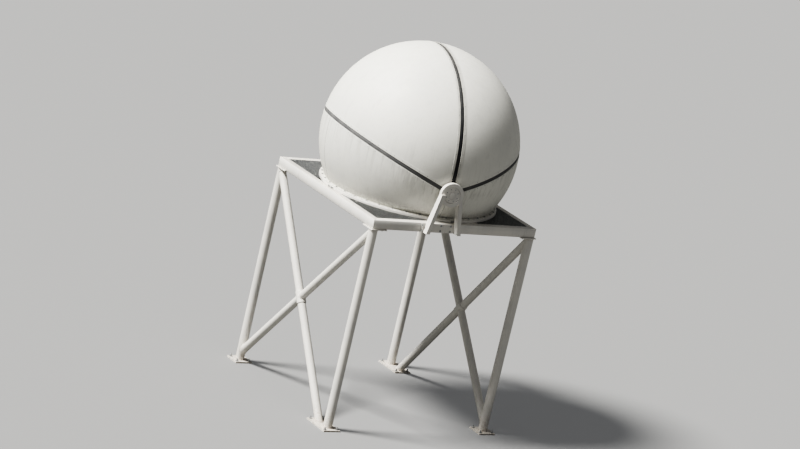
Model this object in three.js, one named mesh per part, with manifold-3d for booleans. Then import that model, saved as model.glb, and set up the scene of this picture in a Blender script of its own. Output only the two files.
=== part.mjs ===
// Ball-shaped dome on an open four-legged tower of steel tube.
// Millimetres, +Z up. The tower stands on z = 0 with its centre on the Z axis.
// The front is the -Y side and the left is the -X side.
import * as THREE from 'three';
import { mergeVertices } from 'three/addons/utils/BufferGeometryUtils.js';
import Module from 'manifold-3d';

const wasm = await Module();
wasm.setup();

// Tower
const towerSide = 3100;            // between leg centres, on all four sides
const frameMiddleHeight = 3590;    // ground to the middle of the top frame
const legRadius = 76;
const braceRadius = 68;
const footPlateThickness = 25;
const footPlateHalfWidth = 160;
const footPlatePastBrace = 130;
const headPlateOverhang = 82;      // out from the leg's centre
const headPlateReach = 215;        // in along the two beams
const headPlateThickness = 15;
const braceTopDrop = 40;           // leg head down to where a brace's axis meets the leg's axis
const braceLowHeight = 150;        // where a brace that lands on the leg meets the leg's axis
const braceInset = 290;            // leg centre to brace centre on a foot plate
const sleeveWall = 12;             // where the braces of a side cross
const sleeveLength = 210;

// Platform
const beamDepth = 160;
const beamWidth = 120;
const joistDepth = 100;
const joistWidth = 60;
const joistSpacing = 500;
const tieWidth = 80;
const tieReach = 617;              // from the tower's middle line to where a corner tie meets a beam
const floorThickness = 10;
const floorRadius = 1480;
const gratingThickness = 38;
const gratingClearance = 4;        // between the floor's round edge and the deck corners
const gratingStartAngle = 21.2;    // degrees from the middle line of a side
const ringInnerRadius = 1385;
const ringOuterRadius = 1525;
const ringHeight = 40;

// Dome
const ballRadius = 1690;
const ballCentreHeight = 4580;
const shellThickness = 30;
const domeTurn = -10;              // degrees about Z, so that the front hinge lies left of the middle
const hingeDrop = 380;             // hinge line below the ball's centre
const rimRise = 21;                // degrees that each rim climbs from the hinge line to the side
const sealHalfWidth = 33;
const sealRecess = 10;
const hubRadius = 140;
const hubInnerEnd = 1570;          // along the hinge line, from the ball's centre
const hubOuterEnd = 1760;

// Hinge brackets
const bracketPostWidth = 70;
const bracketPostDepth = 132;
const bracketPostFoot = 305;       // from the hub's middle to a post's axis, along the beam, at the foot
const bracketPostTop = 168;        // the same level with the hub
const bracketPlateWidth = 760;
const bracketPlateHeight = 150;
const bracketPlateThickness = 16;
const bracketBallClearance = 4;
const collarRadius = 203;
const collarLength = 76;

// Fits and fineness
const gap = 0.3;
const halfGap = gap / 2;
const mergeTolerance = 1e-3;
const legSides = 16;
const braceSides = 12;
const hubSides = 24;
const ballSegments = 60;
const arcStep = 6;                 // degrees
const farSize = 8000;              // side of the blocks that stand for half spaces

// Worked out from the dimensions above
const legOffset = towerSide / 2;
const frameTop = frameMiddleHeight + beamDepth / 2;
const frameUnderside = frameMiddleHeight - beamDepth / 2;
const beamInner = legOffset - beamWidth / 2;
const beamOuter = legOffset + beamWidth / 2;
const headPlateUnderside = frameUnderside - gap - headPlateThickness;
const braceTopHeight = headPlateUnderside - braceTopDrop;
const footPlateTop = footPlateThickness + gap;
const ringTop = frameTop + gap + ringHeight;
const domeTurnRadians = THREE.MathUtils.degToRad(domeTurn);
const rimRiseRadians = THREE.MathUtils.degToRad(rimRise);

// Materials
function paint(color, roughness, metalness) {
  return () => new THREE.MeshStandardMaterial({ color, roughness, metalness });
}
const whiteSteel = paint(0xe9e8e3, 0.45, 0.0);
const whiteShell = paint(0xf2f1ec, 0.35, 0.0);
const galvanised = paint(0x9a9da0, 0.55, 0.8);
const greyFloor = paint(0x8b8e90, 0.6, 0.2);
const darkRubber = paint(0x3a3c40, 0.8, 0.0);

// Solids
function toSolid(geometry) {
  const bare = new THREE.BufferGeometry();
  bare.setAttribute('position', geometry.getAttribute('position'));
  if (geometry.index) bare.setIndex(geometry.index);
  const merged = mergeVertices(bare, mergeTolerance);
  const vertProperties = Float32Array.from(merged.getAttribute('position').array);
  const triVerts = Uint32Array.from(merged.index.array);
  return new wasm.Manifold(new wasm.Mesh({ numProp: 3, vertProperties, triVerts }));
}

function toGeometry(solid) {
  const mesh = solid.getMesh();
  const geometry = new THREE.BufferGeometry();
  geometry.setAttribute('position', new THREE.BufferAttribute(mesh.vertProperties, 3));
  geometry.setIndex(new THREE.BufferAttribute(mesh.triVerts, 1));
  geometry.computeVertexNormals();
  return geometry;
}

// Everything on the side of a plane that its normal points to.
function halfSpace(point, normal) {
  const block = new THREE.BoxGeometry(farSize, farSize, farSize);
  block.translate(0, 0, farSize / 2);
  const direction = normal.clone().normalize();
  block.applyQuaternion(new THREE.Quaternion().setFromUnitVectors(new THREE.Vector3(0, 0, 1), direction));
  block.translate(point.x, point.y, point.z);
  return toSolid(block);
}

function above(height) {
  return halfSpace(new THREE.Vector3(0, 0, height), new THREE.Vector3(0, 0, 1));
}

// A round bar between two points.
function roundBar(from, to, radius, sides) {
  const along = to.clone().sub(from);
  const bar = new THREE.CylinderGeometry(radius, radius, along.length(), sides);
  const direction = along.clone().normalize();
  bar.applyQuaternion(new THREE.Quaternion().setFromUnitVectors(new THREE.Vector3(0, 1, 0), direction));
  const middle = from.clone().add(to).multiplyScalar(0.5);
  bar.translate(middle.x, middle.y, middle.z);
  return bar;
}

function box(low, high) {
  const size = new THREE.Vector3().subVectors(high, low);
  const block = new THREE.BoxGeometry(size.x, size.y, size.z);
  const middle = new THREE.Vector3().addVectors(low, high).multiplyScalar(0.5);
  block.translate(middle.x, middle.y, middle.z);
  return block;
}

function outline(points) {
  return new THREE.Shape(points.map(([x, y]) => new THREE.Vector2(x, y)));
}

function plateFrom(shape, low, thickness) {
  const plate = new THREE.ExtrudeGeometry(shape, { depth: thickness, bevelEnabled: false, curveSegments: 1 });
  plate.translate(0, 0, low);
  return plate;
}

// Points on an arc about the Z axis, angles in degrees.
function arcPoints(radius, start, end) {
  const steps = Math.max(1, Math.round(Math.abs(end - start) / arcStep));
  return Array.from({ length: steps + 1 }, (_, i) => {
    const angle = THREE.MathUtils.degToRad(start + ((end - start) * i) / steps);
    return [radius * Math.cos(angle), radius * Math.sin(angle)];
  });
}

function addPart(group, name, geometry, material) {
  const mesh = new THREE.Mesh(geometry, material());
  mesh.name = name;
  group.add(mesh);
  return mesh;
}

// The four corners, named from the front, in order round the tower.
const corners = {
  left_back: [-1, 1],
  left_front: [-1, -1],
  right_front: [1, -1],
  right_back: [1, 1],
};

// The left and right sides have crossed braces, and the front and back are open. Each runs from a leg's head
// to the foot of the next leg. The first of a side is one tube, and lands on the foot plate beside the leg.
// The second lands on the leg itself, and a sleeve round the first joins its two halves where they cross.
const braces = [
  { name: 'brace_left', head: 'left_back', foot: 'left_front', inset: braceInset },
  { name: 'cross_brace_left', head: 'left_front', foot: 'left_back', inset: 0, round: 'brace_left' },
  { name: 'brace_right', head: 'right_front', foot: 'right_back', inset: braceInset },
  { name: 'cross_brace_right', head: 'right_back', foot: 'right_front', inset: 0, round: 'brace_right' },
];

function cornerPoint(corner, height) {
  const [x, y] = corners[corner];
  return new THREE.Vector3(x * legOffset, y * legOffset, height);
}

// Tower
const tower = new THREE.Group();

function legSolid(corner, radius, low, high) {
  return toSolid(roundBar(cornerPoint(corner, low), cornerPoint(corner, high), radius, legSides));
}

// The plate on a leg's head reaches under both beams, where it is bolted to them.
function headPlate(corner) {
  const [x, y] = corners[corner];
  const ends = [
    [-headPlateOverhang, -headPlateOverhang],
    [headPlateReach, -headPlateOverhang],
    [headPlateReach, beamWidth / 2],
    [beamWidth / 2, headPlateReach],
    [-headPlateOverhang, headPlateReach],
  ];
  const points = ends.map(([inX, inY]) => [x * (legOffset - inX), y * (legOffset - inY)]);
  return plateFrom(outline(points), headPlateUnderside, headPlateThickness);
}

function leg(corner) {
  const tube = legSolid(corner, legRadius, footPlateTop, headPlateUnderside + headPlateThickness / 2);
  return toGeometry(tube.add(toSolid(headPlate(corner))));
}

// A brace's axis, from the top down. One that lands on a foot plate goes on below it, to be cut there.
function braceAxis({ head, foot, inset }) {
  const top = cornerPoint(head, braceTopHeight);
  const inward = cornerPoint(head, 0).sub(cornerPoint(foot, 0)).normalize();
  const landing = cornerPoint(foot, inset > 0 ? footPlateTop : braceLowHeight);
  landing.addScaledVector(inward, inset);
  const downward = landing.clone().sub(top).normalize();
  if (inset > 0) landing.addScaledVector(downward, 2 * braceRadius);
  return new THREE.Line3(top, landing);
}

function barAlong({ start, end }, radius) {
  return toSolid(roundBar(start, end, radius, braceSides));
}

// The piece of a brace's axis that the sleeve is on, where the other brace of the side crosses it.
function sleeveAxis(axis, crossing) {
  const outward = cornerPoint(crossing.head, 0).add(cornerPoint(crossing.foot, 0)).normalize();
  const other = braceAxis(crossing);
  const normal = other.delta(new THREE.Vector3()).cross(outward).normalize();
  const plane = new THREE.Plane().setFromNormalAndCoplanarPoint(normal, other.start);
  const middle = plane.intersectLine(axis, new THREE.Vector3());
  const half = axis.delta(new THREE.Vector3()).setLength(sleeveLength / 2);
  return new THREE.Line3(middle.clone().sub(half), middle.clone().add(half));
}

function brace(each) {
  let bar = barAlong(braceAxis(each), braceRadius);
  if (each.round) {
    const through = braceAxis(braces.find(({ name }) => name === each.round));
    bar = bar
      .add(barAlong(sleeveAxis(through, each), braceRadius + gap + sleeveWall))
      .subtract(barAlong(through, braceRadius + gap));
  }
  return toGeometry(
    bar
      .subtract(legSolid(each.head, legRadius + gap, -farSize, farSize))
      .subtract(legSolid(each.foot, legRadius + gap, -farSize, farSize))
      .subtract(above(headPlateUnderside - gap))
      .intersect(above(footPlateTop)),
  );
}

// A foot plate reaches out under the brace that lands on it.
function footPlate(corner) {
  const { head, inset } = braces.find((each) => each.foot === corner);
  const inward = cornerPoint(head, 0).sub(cornerPoint(corner, 0)).normalize();
  const across = new THREE.Vector3(-inward.y, inward.x, 0);
  const at = cornerPoint(corner, 0);
  const reach = Math.max(footPlateHalfWidth, inset + footPlatePastBrace);
  const ends = [
    [-footPlateHalfWidth, -footPlateHalfWidth],
    [reach, -footPlateHalfWidth],
    [reach, footPlateHalfWidth],
    [-footPlateHalfWidth, footPlateHalfWidth],
  ];
  const points = ends.map(([along, aside]) => {
    const point = at.clone().addScaledVector(inward, along).addScaledVector(across, aside);
    return [point.x, point.y];
  });
  return plateFrom(outline(points), 0, footPlateThickness);
}

for (const corner of Object.keys(corners)) {
  addPart(tower, `foot_plate_${corner}`, footPlate(corner), whiteSteel);
  addPart(tower, `leg_${corner}`, leg(corner), whiteSteel);
}
for (const each of braces) addPart(tower, each.name, brace(each), whiteSteel);

// Platform
const platform = new THREE.Group();

// The front beam's outline, mitred at both ends. The others are the same beam turned about the Z axis.
function frameBeam(turn) {
  const shape = outline([
    [-beamOuter + halfGap, -beamOuter],
    [beamOuter - halfGap, -beamOuter],
    [beamInner - halfGap, -beamInner],
    [-beamInner + halfGap, -beamInner],
  ]);
  return plateFrom(shape, frameUnderside, beamDepth).rotateZ(turn);
}

['front', 'right', 'back', 'left'].forEach((side, i) => {
  addPart(platform, `frame_beam_${side}`, frameBeam((i * Math.PI) / 2), whiteSteel);
});

// Joists run from the front beam to the back one, under the floor plate.
const joistTop = frameTop - floorThickness - gap;
['left', 'middle', 'right'].forEach((place, i) => {
  const x = (i - 1) * joistSpacing;
  const low = new THREE.Vector3(x - joistWidth / 2, -beamInner + gap, joistTop - joistDepth);
  const high = new THREE.Vector3(x + joistWidth / 2, beamInner - gap, joistTop);
  addPart(platform, `joist_${place}`, box(low, high), whiteSteel);
});

// A tie crosses each corner of the frame at 45 degrees, under the ring.
const tieLine = beamInner + tieReach;
const tieHalf = (tieWidth / 2) * Math.SQRT2;

function cornerTie() {
  const inner = beamInner - gap;
  const shape = outline([
    [inner, tieLine - tieHalf - inner],
    [inner, tieLine + tieHalf - inner],
    [tieLine + tieHalf - inner, inner],
    [tieLine - tieHalf - inner, inner],
  ]);
  return plateFrom(shape, frameTop - gratingThickness - gap - joistDepth, joistDepth);
}

// The open corner of the platform outside the dome, between the frame and the floor plate's round edge.
function deckCorner() {
  const edge = beamInner - gap;
  const arc = arcPoints(floorRadius + gratingClearance, gratingStartAngle, 90 - gratingStartAngle);
  const start = arc[0];
  const points = [[edge, start[1]], [edge, edge], [start[1], edge], ...arc.reverse()];
  return plateFrom(outline(points), frameTop - gratingThickness, gratingThickness);
}

const quarterTurns = { right_back: 0, left_back: 1, left_front: 2, right_front: 3 };
for (const [corner, quarters] of Object.entries(quarterTurns)) {
  const turn = (quarters * Math.PI) / 2;
  addPart(platform, `corner_tie_${corner}`, cornerTie().rotateZ(turn), whiteSteel);
  addPart(platform, `deck_corner_${corner}`, deckCorner().rotateZ(turn), galvanised);
}

// The floor inside the dome is a round plate within the frame's beams.
function floorPlate() {
  const points = arcPoints(floorRadius, 0, 360).slice(1);
  return plateFrom(outline(points), frameTop - floorThickness, floorThickness);
}
addPart(platform, 'floor_plate', floorPlate(), greyFloor);

// The ring that carries the dome, in four quarters that meet over the middles of the frame's beams.
function ringQuarter() {
  const trim = THREE.MathUtils.radToDeg(halfGap / ringInnerRadius);
  const outer = arcPoints(ringOuterRadius, trim, 90 - trim);
  const inner = arcPoints(ringInnerRadius, trim, 90 - trim);
  return plateFrom(outline([...outer, ...inner.reverse()]), frameTop + gap, ringHeight);
}
for (const [corner, quarters] of Object.entries(quarterTurns)) {
  addPart(platform, `base_ring_${corner}`, ringQuarter().rotateZ((quarters * Math.PI) / 2), whiteSteel);
}

// Dome. Its own frame has its origin at the ball's centre and the hinge line parallel to Y.
const dome = new THREE.Group();
dome.position.set(0, 0, ballCentreHeight);
dome.rotation.z = domeTurnRadians;

function ball(radius) {
  return toSolid(new THREE.SphereGeometry(radius, ballSegments, ballSegments / 2).rotateX(Math.PI / 2));
}

function hub(end, radius) {
  const inner = new THREE.Vector3(0, end * hubInnerEnd, -hingeDrop);
  const outer = new THREE.Vector3(0, end * hubOuterEnd, -hingeDrop);
  return roundBar(inner, outer, radius, hubSides);
}

const hubHoles = toSolid(hub(-1, hubRadius + gap)).add(toSolid(hub(1, hubRadius + gap)));
const hingeLine = new THREE.Vector3(0, 0, -hingeDrop);
const shellWall = ball(ballRadius).subtract(ball(ballRadius - shellThickness)).subtract(hubHoles);
const sealWall = ball(ballRadius - sealRecess).subtract(ball(ballRadius - shellThickness)).subtract(hubHoles);

// The rim plane of one side holds the hinge line and climbs to the side. Its normal points up and inward.
function rimNormal(side) {
  return new THREE.Vector3(-side * Math.sin(rimRiseRadians), 0, Math.cos(rimRiseRadians));
}
function offRim(side, distance) {
  return hingeLine.clone().addScaledVector(rimNormal(side), distance);
}
function beside(side, distance) {
  return halfSpace(new THREE.Vector3(side * distance, 0, 0), new THREE.Vector3(side, 0, 0));
}

// Two upper shells meet over the crown and come down to the rims.
function upperShell(side) {
  const sealEdge = sealHalfWidth + gap;
  return shellWall
    .intersect(beside(side, sealEdge))
    .intersect(halfSpace(offRim(side, sealEdge), rimNormal(side)));
}

// The lower bowl stands on the ring and comes up to the rims, in four quarters.
function bowlQuarter(side, end) {
  const sealEdge = sealHalfWidth + gap;
  return shellWall
    .intersect(beside(side, halfGap))
    .intersect(halfSpace(new THREE.Vector3(0, end * halfGap, 0), new THREE.Vector3(0, end, 0)))
    .intersect(halfSpace(offRim(side, -sealEdge), rimNormal(side).negate()))
    .intersect(above(ringTop + gap - ballCentreHeight));
}

// Rubber seals fill the joints, a little below the shells' outer face.
function crownSeal() {
  return sealWall
    .subtract(beside(1, sealHalfWidth))
    .subtract(beside(-1, sealHalfWidth))
    .intersect(above(-hingeDrop));
}
function rimSeal(side) {
  return sealWall
    .intersect(beside(side, 0))
    .intersect(halfSpace(offRim(side, -sealHalfWidth), rimNormal(side)))
    .intersect(halfSpace(offRim(side, sealHalfWidth), rimNormal(side).negate()));
}

const sides = { left: -1, right: 1 };
const ends = { front: -1, back: 1 };
for (const [sideName, side] of Object.entries(sides)) {
  addPart(dome, `shell_${sideName}`, toGeometry(upperShell(side)), whiteShell);
  addPart(dome, `rim_seal_${sideName}`, toGeometry(rimSeal(side)), darkRubber);
  for (const [endName, end] of Object.entries(ends)) {
    addPart(dome, `bowl_${sideName}_${endName}`, toGeometry(bowlQuarter(side, end)), whiteShell);
  }
}
addPart(dome, 'crown_seal', toGeometry(crownSeal()), darkRubber);
for (const [endName, end] of Object.entries(ends)) {
  addPart(dome, `pivot_hub_${endName}`, hub(end, hubRadius), whiteSteel);
}

// The bracket is bolted to the front beam's face: a plate, two posts that lean together and a collar between
// them that holds the front hub. The back one is the same, turned half round the Z axis.
function placeOnDome(geometry) {
  return toSolid(geometry.rotateZ(domeTurnRadians).translate(0, 0, ballCentreHeight));
}

function alongHinge(inner, outer, radius) {
  const from = new THREE.Vector3(0, -inner, -hingeDrop);
  const to = new THREE.Vector3(0, -outer, -hingeDrop);
  return placeOnDome(roundBar(from, to, radius, hubSides));
}

function pivotBracket() {
  const face = -beamOuter - gap;
  const hubX = hubOuterEnd * Math.sin(domeTurnRadians);
  const hubHeight = ballCentreHeight - hingeDrop;
  const low = frameMiddleHeight - bracketPlateHeight / 2;
  const half = bracketPostWidth / 2;
  const plate = box(
    new THREE.Vector3(hubX - bracketPlateWidth / 2, face - bracketPlateThickness, low),
    new THREE.Vector3(hubX + bracketPlateWidth / 2, face, low + bracketPlateHeight),
  );
  let bracket = toSolid(plate).add(alongHinge(hubOuterEnd - collarLength, hubOuterEnd, collarRadius));
  for (const side of [-1, 1]) {
    const foot = hubX + side * bracketPostFoot;
    const top = hubX + side * bracketPostTop;
    const shape = outline([
      [foot - half, low],
      [foot + half, low],
      [top + half, hubHeight],
      [top - half, hubHeight],
    ]);
    const post = plateFrom(shape, 0, bracketPostDepth).rotateX(Math.PI / 2).translate(0, face, 0);
    bracket = bracket.add(toSolid(post));
  }
  const ballHole = ball(ballRadius + bracketBallClearance).translate([0, 0, ballCentreHeight]);
  return bracket
    .subtract(alongHinge(hubInnerEnd, hubOuterEnd + bracketPostDepth, hubRadius + gap))
    .subtract(ballHole);
}
addPart(platform, 'pivot_bracket_front', toGeometry(pivotBracket()), whiteSteel);
addPart(platform, 'pivot_bracket_back', toGeometry(pivotBracket()).rotateZ(Math.PI), whiteSteel);

const radome = new THREE.Group();
radome.add(tower, platform, dome);
export default radome;
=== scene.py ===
"""White ball-shaped dome, two upper shells over a bowl, on an open tower of steel tube. Metres, +Z up."""
import math

import bmesh
import bpy
from mathutils import Matrix, Quaternion, Vector
from mathutils.geometry import intersect_line_line


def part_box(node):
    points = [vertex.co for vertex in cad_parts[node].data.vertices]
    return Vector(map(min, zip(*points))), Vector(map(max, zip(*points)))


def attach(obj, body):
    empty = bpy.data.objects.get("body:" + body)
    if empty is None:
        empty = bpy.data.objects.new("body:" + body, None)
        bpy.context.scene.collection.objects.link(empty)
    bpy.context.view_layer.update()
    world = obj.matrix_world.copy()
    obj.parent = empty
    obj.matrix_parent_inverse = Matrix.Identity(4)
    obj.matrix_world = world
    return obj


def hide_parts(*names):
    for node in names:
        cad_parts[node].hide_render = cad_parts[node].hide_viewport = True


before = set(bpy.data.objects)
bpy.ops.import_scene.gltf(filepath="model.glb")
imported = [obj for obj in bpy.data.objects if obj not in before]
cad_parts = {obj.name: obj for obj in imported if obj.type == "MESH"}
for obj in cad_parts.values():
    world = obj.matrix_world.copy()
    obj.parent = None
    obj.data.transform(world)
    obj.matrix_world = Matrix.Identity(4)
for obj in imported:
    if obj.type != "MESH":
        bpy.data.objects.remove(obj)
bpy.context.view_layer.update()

BODY = "root"
UP = Vector((0, 0, 1))
QUARTER_TURN = math.pi / 2
CORNERS = {"left_back": (-1, 1), "left_front": (-1, -1), "right_front": (1, -1), "right_back": (1, 1)}
QUARTERS = {"right_back": 0, "left_back": 1, "left_front": 2, "right_front": 3}
SIDES = {"left": -1, "right": 1}
ENDS = {"front": -1, "back": 1}

# Clearance between pieces that rest on each other
FIT_GAP = 0.0003

# Tower, from the solids. Ends and bolts of a head plate are distances in from its leg's centre.
PLATE_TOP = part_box("foot_plate_left_back")[1].z
HEAD_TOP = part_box("leg_left_back")[1].z
HEAD_UNDERSIDE = HEAD_TOP - 0.015
HEAD_PLATE_ENDS = ((-0.082, -0.082), (0.215, -0.082), (0.215, 0.060), (0.060, 0.215), (-0.082, 0.215))
HEAD_BOLTS = ((0.155, -0.030), (0.155, 0.030), (-0.030, 0.155), (0.030, 0.155))
LEG_AT = 1.55
LEG_RADIUS = 0.076
BRACED_SIDES = {"left": ("left_back", "left_front"), "right": ("right_front", "right_back")}
BRACE_RADIUS = 0.068
BRACE_TOP_DROP = 0.040
BRACE_LOW_HEIGHT = 0.150
BRACE_INSET = 0.290
SLEEVE_RADIUS = 0.080
SLEEVE_LENGTH = 0.210
BEAM_LOW, BEAM_HIGH = (corner.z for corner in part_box("frame_beam_front"))
BEAM_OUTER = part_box("frame_beam_front")[1].x
BEAM_INNER = BEAM_OUTER - 0.120

# Weld beads, by their half width, and how deep a tube's end sinks into what it meets
LEG_WELD = 0.0065
BRACE_WELD = 0.008
SLEEVE_WELD = 0.006
FRAME_WELD = 0.0045
BRACKET_WELD = 0.0055
WELD_SINK = 0.003

# Platform
GRATING_LOW, GRATING_HIGH = (corner.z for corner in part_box("deck_corner_right_back"))
GRATING_START, GRATING_END = (corner.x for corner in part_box("deck_corner_right_back"))
GRATING_ARC = 1.484
RING_LOW, RING_HIGH = (corner.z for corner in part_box("base_ring_right_back"))
RING_INNER = 1.385
RING_OUTER = 1.525

# Dome, in a frame of its own: origin at the ball's centre, hinge line along Y
BALL_CENTRE = Vector((0, 0, 4.580))
BALL_RADIUS = 1.6835
WALL = 0.028
DOME_TURN = math.radians(-10)
DOME = Matrix.Translation(BALL_CENTRE) @ Matrix.Rotation(DOME_TURN, 4, "Z")
HINGE = Vector((0, 0, -0.380))
RIM_RISE = math.radians(21)
RIM_SIN, RIM_COS = math.sin(RIM_RISE), math.cos(RIM_RISE)
SEAM_HALF = 0.0333
BOWL_FOOT = RING_HIGH + FIT_GAP - BALL_CENTRE.z
BOWL_JOINT = 0.001
FLANGE = 0.012
HUB_RADIUS = 0.1400
HUB_INNER, HUB_OUTER = 1.600, 1.752
COLLAR_RADIUS = 0.203
COLLAR_INNER, COLLAR_OUTER = 1.684, 1.760

# Turned shapes, as (height over the face, radius): a groove round the hub's cap, and a screw's head
HUB_FACE = ((0, 0.072), (-0.004, 0.068), (-0.004, 0.052), (0.004, 0.048), (0.006, 0.040))
SCREW_HEAD = ((0, 0.0070), (0.0012, 0.0062), (0.0020, 0.0038), (0.0023, 0.0010))

# Brackets that hold the hubs, each with two posts on a plate against the frame beam
BRACKET_MIDDLE = COLLAR_OUTER * math.sin(DOME_TURN)
BRACKET_SEAT = BEAM_OUTER + FIT_GAP
BRACKET_FACE = BRACKET_SEAT + 0.016
BRACKET_HALF = 0.380
BRACKET_LOW, BRACKET_HIGH = 3.515, 3.665
POST_HALF = 0.035
POST_DEPTH = 0.132
POST_FOOT = 0.305
POST_TOP = 0.168


# Node trees
def add_node(tree, kind, values=None, **settings):
    """A node with its settings, and each input in values set or linked."""
    made = tree.nodes.new(kind)
    for label, value in settings.items():
        setattr(made, label, value)
    for label, value in (values or {}).items():
        socket = made.inputs[label]
        if isinstance(value, bpy.types.NodeSocket):
            tree.links.new(value, socket)
        else:
            socket.default_value = value
    return made


def maths(tree, operation, *values):
    return add_node(tree, "ShaderNodeMath", dict(enumerate(values)), operation=operation).outputs[0]


def times(tree, first, second):
    return maths(tree, "MULTIPLY", first, second)


def plus(tree, first, second):
    return maths(tree, "ADD", first, second)


def ranged(tree, value, low, high, way="SMOOTHSTEP"):
    """How far a value has gone from low to high, held at 0 and 1."""
    values = {"Value": value, "From Min": low, "From Max": high}
    return add_node(tree, "ShaderNodeMapRange", values, interpolation_type=way).outputs[0]


def blended(tree, factor, under, over):
    return add_node(tree, "ShaderNodeMix", {0: factor, 6: under, 7: over}, data_type="RGBA").outputs[2]


def tinted(tree, color, tint, mask, share=None):
    """A colour under a tint, as strong as the mask says, or as its share of that."""
    if share:
        mask = times(tree, mask, share)
    return blended(tree, mask, color, (*tint, 1))


def position(tree):
    return add_node(tree, "ShaderNodeTexCoord").outputs["Object"]


def axes_of(tree, vector):
    return add_node(tree, "ShaderNodeSeparateXYZ", {0: vector}).outputs


def height_here(tree):
    return axes_of(tree, position(tree))[2]


def facing_up(tree):
    """How far a surface faces up, from -1 to 1."""
    return axes_of(tree, add_node(tree, "ShaderNodeNewGeometry").outputs["Normal"])[2]


def noise(tree, vector, scale, detail=3.0, roughness=0.55):
    values = {"Vector": vector, "Scale": scale, "Detail": detail, "Roughness": roughness}
    return add_node(tree, "ShaderNodeTexNoise", values).outputs["Fac"]


def new_effect(build, output="Mask", **inputs):
    """A node group that puts out what build makes of its number inputs. An underscore stands for a space."""
    tree = bpy.data.node_groups.new(build.__name__, "ShaderNodeTree")
    for label, default in inputs.items():
        label = label.replace("_", " ")
        socket = tree.interface.new_socket(name=label, in_out="INPUT", socket_type="NodeSocketFloat")
        socket.default_value = default
    tree.interface.new_socket(name=output, in_out="OUTPUT", socket_type="NodeSocketFloat")
    given = tree.nodes.new("NodeGroupInput").outputs
    tree.links.new(build(tree, given), tree.nodes.new("NodeGroupOutput").inputs[output])
    return tree


def weather_patches(tree, given):
    """Soft uneven patches, as where paint has chalked or a surface has dulled."""
    broad = noise(tree, position(tree), given["Scale"], detail=4.0)
    return ranged(tree, broad, given["Low"], given["High"])


def rain_streaks(tree, given):
    """Dirt that rain has drawn down a steep surface."""
    axes = axes_of(tree, position(tree))
    across = [times(tree, axes[k], given["Width"]) for k in (0, 1)]
    down = times(tree, axes[2], given["Length"])
    stretched = add_node(tree, "ShaderNodeCombineXYZ", {0: across[0], 1: across[1], 2: down}).outputs[0]
    lines = noise(tree, stretched, 1.0, detail=5.0, roughness=0.62)
    low = maths(tree, "SUBTRACT", 0.86, times(tree, given["Cover"], 0.5))
    steep = ranged(tree, maths(tree, "ABSOLUTE", facing_up(tree)), 0.97, 0.55)
    return times(tree, ranged(tree, lines, low, plus(tree, low, 0.22)), steep)


def settled_dust(tree, given):
    """Dust that has settled where a surface faces up."""
    uneven = noise(tree, position(tree), given["Scale"], detail=6.0, roughness=0.7)
    level = times(tree, ranged(tree, facing_up(tree), 0.35, 1.0), ranged(tree, uneven, 0.32, 0.68))
    return times(tree, level, given["Cover"])


def ground_splash(tree, given):
    """Earth thrown up by rain near the ground, fading out with height."""
    low = ranged(tree, height_here(tree), given["Height"], 0.0, way="LINEAR")
    uneven = noise(tree, position(tree), given["Scale"], detail=6.0, roughness=0.7)
    return times(tree, maths(tree, "POWER", low, 1.6), ranged(tree, uneven, 0.35, 0.7))


def surface_grain(tree, given):
    """A fine uneven height, for the feel of a brushed, sprayed or moulded surface."""
    fine = noise(tree, position(tree), given["Fine"], detail=2.0)
    broad = noise(tree, position(tree), given["Broad"])
    return plus(tree, fine, times(tree, broad, given["Broad Share"]))


def small_specks(tree, given):
    """Small separate marks: dirt, pits and rust spots."""
    place = position(tree)
    bent = noise(tree, place, times(tree, given["Scale"], 2.5), detail=1.0)
    cells = add_node(tree, "ShaderNodeTexVoronoi", {"Vector": place, "Scale": given["Scale"]}).outputs
    pick = add_node(tree, "ShaderNodeSeparateColor", {0: cells["Color"]}).outputs
    size = times(tree, given["Size"], plus(tree, times(tree, pick[1], 1.2), bent))
    dots = ranged(tree, cells["Distance"], size, times(tree, size, 0.75), way="LINEAR")
    return times(tree, dots, maths(tree, "LESS_THAN", pick[0], given["Cover"]))


PATCHES = new_effect(weather_patches, Scale=1.5, Low=0.4, High=0.7)
STREAKS = new_effect(rain_streaks, Width=9.0, Length=0.55, Cover=0.5)
DUST = new_effect(settled_dust, Scale=14.0, Cover=0.5)
SPLASH = new_effect(ground_splash, Height=0.5, Scale=18.0)
GRAIN = new_effect(surface_grain, output="Height", Fine=260.0, Broad=14.0, Broad_Share=0.4)
SPECKS = new_effect(small_specks, Scale=60.0, Size=0.16, Cover=0.3)


def effect(tree, group, **values):
    """A node group's output, with its inputs set."""
    made = add_node(tree, "ShaderNodeGroup", node_tree=group)
    for label, value in values.items():
        made.inputs[label.replace("_", " ")].default_value = value
    return made.outputs[0]


def marked(tree, color, tint, group, share=None, **values):
    """A colour with an effect's marks over it in a tint."""
    return tinted(tree, color, tint, effect(tree, group, **values), share)


def new_material(name):
    made = bpy.data.materials.new(name)
    made.use_nodes = True
    return made, made.node_tree, made.node_tree.nodes["Principled BSDF"].inputs


def connect(tree, shader, color, roughness, bump, **grain):
    """Gives a shader its colour and roughness, and a bump, as (strength, distance), of the given grain."""
    tree.links.new(color, shader["Base Color"])
    tree.links.new(roughness, shader["Roughness"])
    values = {"Height": effect(tree, GRAIN, **grain), "Strength": bump[0], "Distance": bump[1]}
    tree.links.new(add_node(tree, "ShaderNodeBump", values).outputs[0], shader["Normal"])


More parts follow.
